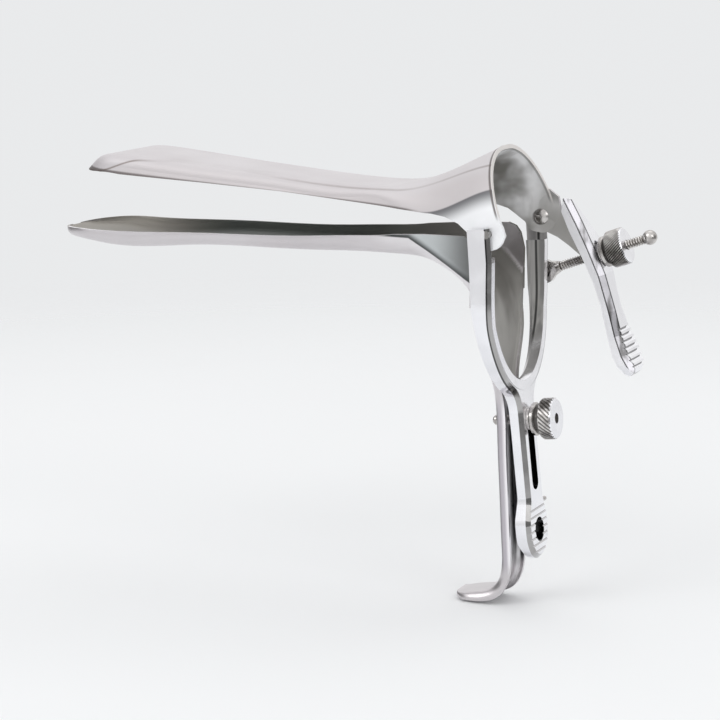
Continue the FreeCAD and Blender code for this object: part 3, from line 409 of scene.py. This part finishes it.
def lever_steel(settings):
    """Bright hand polish of the lever, painted reflection patches on its bevel, painted shade in the
    grooves of its thumb's end.
    """
    finish = Finish("bright_lever", settings.forged_colour)
    place = finish.place()
    _, y, z = finish.millimetres(place)
    nx, ny, nz = finish.facing()
    wave = finish.grain(place, 130.0, 1.0)
    colour = finish.blend(wave.rise(0.35, 0.7), settings.forged_shade, settings.forged_colour)

    # The rear bevel runs along the lever's near side: distances from the middle plane
    near_face, bevel_end = 20.5, 22.2
    rearward = nx.rise(0.15, 0.3)
    bevel = y.fall(bevel_end - 0.2, bevel_end) * rearward
    # Painted reflection patches on the bevel
    patch = finish.grain(place, (300, 300, 48)).rise(0.42, 0.58)
    bevel_reflections = finish.blend(patch, (0.13, 0.125, 0.125), (0.60, 0.59, 0.63))
    colour = finish.blend(bevel * 0.9, colour, bevel_reflections)
    # Painted dark reflection lines along the bevel's edges
    edges = (y - bevel_end).near(0.10, 0.28).most((y - near_face).near(0.10, 0.30)) * rearward
    colour = finish.blend(edges * 0.9, colour, PAINTED_SHADE_BLACK)
    # Painted shade in the grooves of the thumb's end
    groove = nz.fall(-0.5, -0.2) * nx.rise(0.2, 0.4) * z.fall(58, 60)
    inner = ny.fall(-0.97, -0.9)
    finish.give("Base Color", finish.blend(groove * 0.9, colour, (0.10, 0.095, 0.09)))
    finish.give("Metallic", 1.0 - 0.85 * inner.most(bevel * 0.5))
    finish.give("Roughness", 0.12 + 0.10 * wave + 0.3 * inner)
    finish.relief(wave, 0.10, 1 * MM)
    return finish.material


def turned_steel(settings):
    """Turned and lightly dulled steel of the rivets, rings, ball and threads."""
    finish = Finish("turned_bar", settings.turned_colour)
    cloud = finish.grain(finish.place(), 420.0)
    tone = finish.blend(cloud.rise(0.3, 0.75), settings.turned_shade, settings.turned_colour)
    finish.give("Base Color", tone)
    finish.give("Roughness", 0.16 + 0.14 * cloud)
    return finish.material


def flush_rivet_steel(settings):
    """Rivet polished flush with the yoke's arm: bright on its side, grey painted shade where it crosses the
    bevel.
    """
    finish = Finish("flush_rivet", settings.forged_colour)
    place = finish.place()
    x = finish.millimetres(place)[0]
    bright = finish.clouded(place, 260.0, settings.forged_shade, settings.forged_colour)
    finish.give("Base Color", finish.blend(x.rise(-6.9, -6.5), bright, settings.bevel_shade))
    return finish.material


def painted_root_shade():
    """Painted shade: dark steel at the bottom of the rod's thread."""
    finish = Finish("thread_root", (0.12, 0.11, 0.10))
    finish.give("Roughness", 0.16 + 0.14 * finish.grain(finish.place(), 420.0))
    return finish.material


def knurled_steel(settings, name, origin, way, radius, depth):
    """Steel of a knurled rim, with painted shade darker towards the grooves: by distance from the nut's own
    axis.
    """
    finish = Finish(name, settings.knurl_colour)
    place = finish.place()
    x, y, z = finish.parts(place)
    lift = (z - origin.z) * way.x - (x - origin.x) * way.z
    aside = y - origin.y
    crest = (lift * lift + aside * aside).rise((radius - 0.85 * depth) ** 2, (radius - 0.25 * depth) ** 2)
    cloud = finish.grain(place, 600.0)
    bright = finish.blend(cloud.rise(0.3, 0.7), settings.turned_shade, settings.knurl_colour)
    # Painted shade in the grooves, bright steel on the crests
    finish.give("Base Color", finish.blend(crest, (0.13, 0.125, 0.12), bright))
    finish.give("Roughness", 0.24 + 0.10 * cloud)
    return finish.material


def nut_face_steel(settings):
    """Bright turned end of a nut."""
    finish = Finish("nut_face", settings.forged_colour)
    bright = finish.clouded(finish.place(), 260.0, settings.forged_shade, settings.forged_colour)
    finish.give("Base Color", bright)
    return finish.material


# Modelling by hand

def start_clear():
    """Object mode, with nothing selected."""
    if bpy.context.object and bpy.context.object.mode != "OBJECT":
        bpy.ops.object.mode_set(mode="OBJECT")
    bpy.ops.object.select_all(action="DESELECT")


def pick(active, *others):
    """Select these pieces alone, the first one active."""
    start_clear()
    bpy.context.view_layer.objects.active = active
    for piece in (active, *others):
        piece.select_set(True)


def edit_all():
    """Edit mode, with the whole mesh selected."""
    bpy.ops.object.mode_set(mode="EDIT")
    bpy.ops.mesh.select_all(action="SELECT")


def face_outwards():
    """Turn the edited mesh's faces outwards and go back to object mode."""
    bpy.ops.mesh.select_all(action="SELECT")
    bpy.ops.mesh.normals_make_consistent(inside=False)
    bpy.ops.object.mode_set(mode="OBJECT")


def dress(piece, name, body, slot, material, *nodes):
    """Name a finished piece, let it ride, and let it stand for its solids."""
    piece.name = name
    piece.data.name = name
    if material:
        piece.data.materials.clear()
        piece.data.materials.append(material)
    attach(piece, body)
    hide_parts(*nodes)


def set_down(piece, point, way):
    """Stand a piece made along Z at a point, its Z along the way, and bake that into its mesh."""
    turn = way.to_track_quat("Z", "Y").to_matrix().to_4x4()
    piece.data.transform(Matrix.Translation(point) @ turn)
    piece.data.update()


def spun(profile, steps=64):
    """Turned piece about Z from a closed profile of (radius, height) corners, in metres."""
    start_clear()
    bpy.ops.mesh.primitive_circle_add(vertices=len(profile), radius=1.0, fill_type="NOTHING")
    piece = bpy.context.object
    for vertex, (radius, height) in zip(piece.data.vertices, profile):
        vertex.co = (radius, 0.0, height)
    edit_all()
    bpy.ops.mesh.spin(steps=steps, angle=2 * math.pi, center=(0, 0, 0), axis=(0, 0, 1))
    bpy.ops.mesh.select_all(action="SELECT")
    bpy.ops.mesh.remove_doubles(threshold=1e-7)
    face_outwards()
    return piece


def twisted_star(radius, depth, ridges, height, turn, steps=6):
    """Rim of straight ridges, twisted by an angle over its height."""
    start_clear()
    bpy.ops.mesh.primitive_circle_add(vertices=2 * ridges, radius=radius, fill_type="NGON")
    piece = bpy.context.object
    for index, vertex in enumerate(piece.data.vertices):
        if index % 2:
            vertex.co *= (radius - depth) / radius
    edit_all()
    for _ in range(steps):
        bpy.ops.mesh.extrude_region_move(TRANSFORM_OT_translate={"value": (0, 0, height / steps)})
        bpy.ops.transform.rotate(value=turn / steps, orient_axis="Z", center_override=(0, 0, 0))
    face_outwards()
    return piece


def crossed_rim(radius, depth, ridges, height):
    """Rim of small pyramids in staggered rows, as a two-way knurl leaves."""
    rows = 2 * round(height * ridges / (2 * math.pi * radius))
    piece = twisted_star(radius, 0.0, ridges, height, 0.0, rows)
    for vertex in piece.data.vertices:
        around = round(math.atan2(vertex.co.y, vertex.co.x) * ridges / math.pi)
        row = round(vertex.co.z / height * rows)
        if (around + row) % 2:
            vertex.co.x *= (radius - depth) / radius
            vertex.co.y *= (radius - depth) / radius
    return piece


def carve(piece, tool, operation):
    """Boolean of two pieces; the tool is used up."""
    cut = piece.modifiers.new("cut", "BOOLEAN")
    cut.operation = operation
    cut.solver = "EXACT"
    cut.object = tool
    pick(piece)
    bpy.ops.object.modifier_apply(modifier=cut.name)
    bpy.data.objects.remove(tool)
    return piece


def smooth(piece, degrees):
    pick(piece)
    bpy.ops.object.shade_smooth_by_angle(angle=math.radians(degrees))


def join(first, second):
    pick(first, second)
    bpy.ops.object.join()
    return first


def thread(radius, core, pitch, turns, steps=20):
    """Ridge of a screw thread about Z, from height 0 up: a triangle swept along a helix."""
    start_clear()
    bpy.ops.mesh.primitive_circle_add(vertices=3, radius=1.0, fill_type="NOTHING")
    ridge = bpy.context.object
    corners = ((core, 0.04 * pitch), (radius, 0.5 * pitch), (core, 0.96 * pitch))
    for vertex, (across, up) in zip(ridge.data.vertices, corners):
        vertex.co = (across, 0.0, up)
    screw = ridge.modifiers.new("screw", "SCREW")
    screw.axis = "Z"
    screw.screw_offset = pitch
    screw.iterations = turns
    screw.steps = screw.render_steps = steps
    screw.use_smooth_shade = False
    bpy.ops.object.modifier_apply(modifier=screw.name)
    edit_all()
    face_outwards()
    return ridge


def copied(node):
    """Own copy of a solid's mesh, its loose triangles merged."""
    piece = bpy.data.objects.new(node + "_copy", frame["nodes"][node].data.copy())
    bpy.context.scene.collection.objects.link(piece)
    pick(piece)
    edit_all()
    bpy.ops.mesh.remove_doubles(threshold=1e-6)
    bpy.ops.object.mode_set(mode="OBJECT")
    return piece


def paint(node, material):
    mesh = frame["nodes"][node].data
    mesh.materials.clear()
    mesh.materials.append(material)


# Settings

def colour_setting(name, description, value):
    return bpy.props.FloatVectorProperty(
        name=name, description=description, default=value, subtype="COLOR", min=0.0, max=1.0)


def length_setting(name, description, value):
    return bpy.props.FloatProperty(
        name=name, description=description, default=value, unit="LENGTH", precision=5)


class SpeculumFinishes(bpy.types.PropertyGroup):
    blade_colour: colour_setting(
        "Blade colour", "Lighter tone of the blades' polished sheet", (0.66, 0.635, 0.65))
    blade_shade: colour_setting(
        "Blade shade", "Darker tone of the blades' polished sheet", (0.61, 0.58, 0.595))
    # Painted shade on the upper blade's side below the crease
    blade_side_shade: colour_setting(
        "Blade side", "Tone below the crease of the upper blade", (0.60, 0.56, 0.565))
    # Painted shade along the upper blade's crease
    crease_shade: colour_setting(
        "Crease", "Line along the shoulder of the upper blade", (0.24, 0.20, 0.185))
    forged_colour: colour_setting(
        "Forging colour", "Lighter tone of the yoke and the lever", (0.95, 0.95, 0.98))
    forged_shade: colour_setting(
        "Forging shade", "Darker tone of the yoke and the lever", (0.88, 0.88, 0.91))
    # Painted shade on the yoke's bevels and grooves
    bevel_shade: colour_setting(
        "Bevel colour", "Tone of the yoke's bevels and grooves", (0.30, 0.29, 0.28))
    turned_colour: colour_setting(
        "Turned colour", "Rivets, rings, threads and ball", (0.66, 0.64, 0.62))
    turned_shade: colour_setting(
        "Turned shade", "Duller patches of the turned steel", (0.40, 0.38, 0.37))
    knurl_colour: colour_setting(
        "Knurl colour", "Ridges of the knurled rims", (0.80, 0.78, 0.76))


class SpeculumSizes(bpy.types.PropertyGroup):
    thread_radius: length_setting("Thread radius", "Crest radius of the rod's thread", 1.45 * MM)
    thread_depth: length_setting(
        "Thread depth", "From the crest of the rod's thread to its root", 0.32 * MM)
    thread_pitch: length_setting("Thread pitch", "Rise of the thread in one turn", 0.8 * MM)
    thread_turns: bpy.props.IntProperty(
        name="Thread turns", description="Turns from the rod's neck to its ball", default=35, min=5, max=60)
    knurl_ridges: bpy.props.IntProperty(
        name="Knurl ridges", description="Ridges round a knurled rim", default=46, min=12, max=90)
    knurl_pyramids: bpy.props.IntProperty(
        name="Knurl pyramids", description="Pyramids round the clamp nut's two-way knurl, an even number",
        default=28, min=12, max=60, step=2)
    knurl_depth: length_setting("Knurl depth", "Depth of the knurl's grooves", 0.40 * MM)


class SpeculumStage(bpy.types.PropertyGroup):
    floor_colour: colour_setting(
        "Floor colour", "Colour of the floor and the backdrop", (0.86, 0.87, 0.88))
    lamp_power: bpy.props.FloatProperty(
        name="Lamp power", description="Power of the large soft lamp", default=2.6, unit="POWER", min=0.0)
    sky_strength: bpy.props.FloatProperty(
        name="Surround strength", description="Strength of the soft light from all round",
        default=0.95, min=0.0, max=2.0)
    backdrop_strength: bpy.props.FloatProperty(
        name="Backdrop strength", description="Brightness of the plain backdrop behind the floor",
        default=0.95, min=0.0, max=2.0)


# Stage

def photograph_camera():
    """Camera that sees the object as the photograph does."""
    camera = bpy.data.objects.new("camera", bpy.data.cameras.new("camera"))
    bpy.context.scene.collection.objects.link(camera)
    camera.data.sensor_width = CAMERA_SENSOR
    camera.data.lens = CAMERA_LENS
    camera.data.clip_end = 20.0
    camera.rotation_euler = (math.pi / 2 - CAMERA_ELEVATION, 0.0, CAMERA_AZIMUTH)
    back = camera.rotation_euler.to_matrix() @ Vector((0.0, 0.0, 1.0))
    camera.location = CAMERA_TARGET + back * CAMERA_DISTANCE
    bpy.context.scene.camera = camera


def pale_floor(settings):
    """Floor that fades into the backdrop away from the object."""
    start_clear()
    bpy.ops.mesh.primitive_plane_add(size=FLOOR_WIDTH, location=(0.0, 0.0, CAD_LOW.z - FLOOR_GAP))
    floor = bpy.context.object
    floor.name = "floor"
    bpy.ops.object.mode_set(mode="EDIT")
    bpy.ops.mesh.subdivide(number_cuts=8)
    bpy.ops.object.mode_set(mode="OBJECT")

    surface = Finish("pale_floor", settings.floor_colour, 0.0, 0.9)
    surface.shader.inputs["Specular IOR Level"].default_value = 0.2
    place = surface.place()
    tint = tuple(settings.floor_colour)
    duller = tuple(0.985 * part for part in tint)
    surface.give("Base Color", surface.clouded(place, 3.0, duller, tint))
    x, y, _ = surface.parts(place)
    surface.give("Alpha", (x * x + y * y).fall(*FLOOR_FADE))
    floor.data.materials.append(surface.material)


def studio_world(settings):
    """Soft light from all round, dimmer from both ends, and a plain backdrop for the camera."""
    world = bpy.data.worlds.new("studio")
    bpy.context.scene.world = world
    world.use_nodes = True
    studio = Nodes(world.node_tree)
    x, _, z = studio.parts(studio.node("ShaderNodeTexCoord", output="Generated"))
    tone = z.rise(-0.1, 0.5, 0.80, 1.05) * x.fall(0.60, 0.86, 0.30) * x.rise(-0.92, -0.66, 0.28, 1.0)
    surround = studio.node("ShaderNodeBackground", {}, {"Color": tone, "Strength": settings.sky_strength})
    backdrop = studio.node("ShaderNodeBackground", {}, {
        "Color": (*settings.floor_colour, 1.0), "Strength": settings.backdrop_strength})
    seen = studio.node("ShaderNodeLightPath", output="Is Camera Ray")
    both = studio.node("ShaderNodeMixShader", {}, {0: seen, 1: surround, 2: backdrop})
    studio.node("ShaderNodeOutputWorld", {}, {"Surface": both})


def soft_lamps(settings):
    """Large square lamps that face the object's middle: offset, width, and share of the lamp power."""
    middle = (CAD_LOW + CAD_HIGH) / 2
    for name, offset, width, share in (
        ("key_lamp", (-0.5, -0.9, 0.9), 0.7, 1.0),
        ("fill_lamp", (0.9, -0.4, 0.5), 0.5, 0.45),
        ("top_lamp", (0.1, 0.5, 1.1), 0.8, 0.5),
    ):
        lamp = bpy.data.lights.new(name, "AREA")
        lamp.shape = "SQUARE"
        lamp.size = width
        lamp.energy = settings.lamp_power * share
        holder = bpy.data.objects.new(name, lamp)
        bpy.context.scene.collection.objects.link(holder)
        holder.location = middle + Vector(offset)
        holder.rotation_mode = "QUATERNION"
        holder.rotation_quaternion = Vector(offset).to_track_quat("Z", "Y")


# Pieces

def threaded_rod(sizes, bar, root):
    """The solid rod's eye, then a thread: a core painted dark as shade and a bright ridge."""
    # The solid is kept within a block round its eye, the thread starts inside it, and the ridge
    # bites into the core
    reach, width, overlap, bite = 5.3 * MM, 6 * MM, 0.3 * MM, 0.05 * MM
    eye = copied("adjuster_rod")
    eye.data.materials.clear()
    eye.data.materials.append(bar)
    start_clear()
    bpy.ops.mesh.primitive_cylinder_add(vertices=48, radius=width, depth=2 * reach)
    block = bpy.context.object
    set_down(block, ROD_EYE, ROD_WAY)
    eye = carve(eye, block, "INTERSECT")

    core = sizes.thread_radius - sizes.thread_depth
    run = sizes.thread_turns * sizes.thread_pitch
    ridge = thread(sizes.thread_radius, core - bite, sizes.thread_pitch, sizes.thread_turns)
    start_clear()
    bpy.ops.mesh.primitive_cylinder_add(vertices=40, radius=core, depth=run, location=(0, 0, run / 2))
    shank = bpy.context.object
    bpy.ops.object.transform_apply(location=True)
    shank.data.materials.append(root)
    ridge.data.materials.append(bar)
    shank = join(shank, ridge)
    set_down(shank, ROD_EYE + ROD_WAY * (reach - overlap), ROD_WAY)
    rod = join(eye, shank)
    smooth(rod, degrees=28)
    dress(rod, "threaded_rod", "rod", "turned_steel", None, "adjuster_rod")


def knurled_nut(context, face, name, node, body, origin, way, start, radius, neck, head, crossed):
    """Nut with a knurled rim and a plain collar, from its start along the axis, in millimetres."""
    sizes, finishes = context.scene.speculum_sizes, context.scene.speculum_finishes
    start, radius, neck, rim = start * MM, radius * MM, neck * MM, (head - neck) * MM
    bore, seat, edge, overlap = 1.5 * MM, 3.6 * MM, 0.5 * MM, 0.3 * MM
    spare, hair = 0.1 * MM, 0.01 * MM
    if crossed:
        drum = crossed_rim(radius, sizes.knurl_depth, sizes.knurl_pyramids, rim)
    else:
        drum = twisted_star(radius, sizes.knurl_depth, sizes.knurl_ridges, rim, turn=math.radians(34))
    chamfered = spun([
        (bore, -neck - spare), (seat, -neck - spare), (seat, -hair), (radius - edge, -hair),
        (radius + spare, edge + spare), (radius + spare, rim - edge - spare),
        (radius - edge, rim - hair), (bore, rim - hair)])
    drum = carve(drum, chamfered, "INTERSECT")
    collar = spun([(bore, -neck), (seat, -neck), (seat, overlap), (bore, overlap)])
    drum = join(drum, collar)
    smooth(drum, degrees=24)
    set_down(drum, origin + way * (start + neck), way)
    knurl = knurled_steel(finishes, name + "_rim", origin, way, radius, sizes.knurl_depth)
    dress(drum, name, body, "knurled_steel", knurl, node)

    # The end that faces away from the start of the axis is bright
    drum.data.materials.append(face)
    for polygon in drum.data.polygons:
        if polygon.normal.dot(way) > 0.6:
            polygon.material_index = 1


# Operators

class SPECULUM_OT_stage(bpy.types.Operator):
    """Camera at the photograph's angle, pale floor, backdrop and soft lamps"""
    bl_idname = "speculum.stage"
    bl_label = "Stage"

    def execute(self, context):
        settings = context.scene.speculum_stage
        photograph_camera()
        pale_floor(settings)
        studio_world(settings)
        soft_lamps(settings)
        context.scene.view_settings.view_transform = "Standard"
        return {"FINISHED"}


class SPECULUM_OT_blades(bpy.types.Operator):
    """Satin sheet steel on the two blades"""
    bl_idname = "speculum.blades"
    bl_label = "Blades"

    def execute(self, context):
        settings = context.scene.speculum_finishes
        paint("lower_blade", lower_sheet(settings))
        paint("upper_blade", upper_sheet(settings))
        return {"FINISHED"}


class SPECULUM_OT_forgings(bpy.types.Operator):
    """Bright polish on the yoke and the thumb lever"""
    bl_idname = "speculum.forgings"
    bl_label = "Yoke and lever"

    def execute(self, context):
        settings = context.scene.speculum_finishes
        paint("yoke", yoke_steel(settings))
        paint("thumb_lever", lever_steel(settings))
        return {"FINISHED"}


class SPECULUM_OT_rod(bpy.types.Operator):
    """Screw thread on the adjuster rod, and turned steel on its eye, the rings and the rivets"""
    bl_idname = "speculum.rod"
    bl_label = "Adjuster rod"

    def execute(self, context):
        finishes = context.scene.speculum_finishes
        bar = turned_steel(finishes)
        for node in ("rod_ball", "eye_rivet", "hinge_rivet_right", "adjuster_washer", "clamp_washer",
                     "clamp_stud", "guide_pin"):
            paint(node, bar)
        paint("hinge_rivet_left", flush_rivet_steel(finishes))
        threaded_rod(context.scene.speculum_sizes, bar, painted_root_shade())
        return {"FINISHED"}


class SPECULUM_OT_nuts(bpy.types.Operator):
    """Knurled nuts of the adjuster and the clamp"""
    bl_idname = "speculum.nuts"
    bl_label = "Knurled nuts"

    def execute(self, context):
        face = nut_face_steel(context.scene.speculum_finishes)
        knurled_nut(context, face, "adjuster_knob", "adjuster_nut", "rod_nut", ROD_EYE, ROD_WAY,
                    start=20.6, radius=5.4, neck=0.6, head=5.9, crossed=False)
        knurled_nut(context, face, "clamp_knob_knurled", "clamp_nut", "clamp_knob", CLAMP_SEAT, CLAMP_WAY,
                    start=1.45, radius=5.9, neck=1.4, head=5.45, crossed=True)
        return {"FINISHED"}


class SPECULUM_PT_panel(bpy.types.Panel):
    """Steps and settings of the speculum"""
    bl_idname = "SPECULUM_PT_panel"
    bl_label = "Bivalve speculum"
    bl_space_type = "VIEW_3D"
    bl_region_type = "UI"
    bl_category = "Speculum"

    def draw(self, context):
        for operator in STEPS:
            self.layout.operator(operator.bl_idname)
        for group in ("speculum_finishes", "speculum_sizes", "speculum_stage"):
            settings = getattr(context.scene, group)
            box = self.layout.box()
            for name in settings.bl_rna.properties.keys():
                if name not in ("rna_type", "name"):
                    box.prop(settings, name)


GROUPS = (SpeculumFinishes, SpeculumSizes, SpeculumStage)
STEPS = (SPECULUM_OT_stage, SPECULUM_OT_blades, SPECULUM_OT_forgings, SPECULUM_OT_rod, SPECULUM_OT_nuts)


def register():
    for item in (*GROUPS, *STEPS, SPECULUM_PT_panel):
        bpy.utils.register_class(item)
    bpy.types.Scene.speculum_finishes = bpy.props.PointerProperty(type=SpeculumFinishes)
    bpy.types.Scene.speculum_sizes = bpy.props.PointerProperty(type=SpeculumSizes)
    bpy.types.Scene.speculum_stage = bpy.props.PointerProperty(type=SpeculumStage)


def unregister():
    del bpy.types.Scene.speculum_stage
    del bpy.types.Scene.speculum_sizes
    del bpy.types.Scene.speculum_finishes
    for item in reversed((*GROUPS, *STEPS, SPECULUM_PT_panel)):
        bpy.utils.unregister_class(item)


def main():
    register()
    bpy.ops.speculum.stage()
    bpy.ops.speculum.blades()
    bpy.ops.speculum.forgings()
    bpy.ops.speculum.rod()
    bpy.ops.speculum.nuts()


if __name__ == "__main__":
    main()
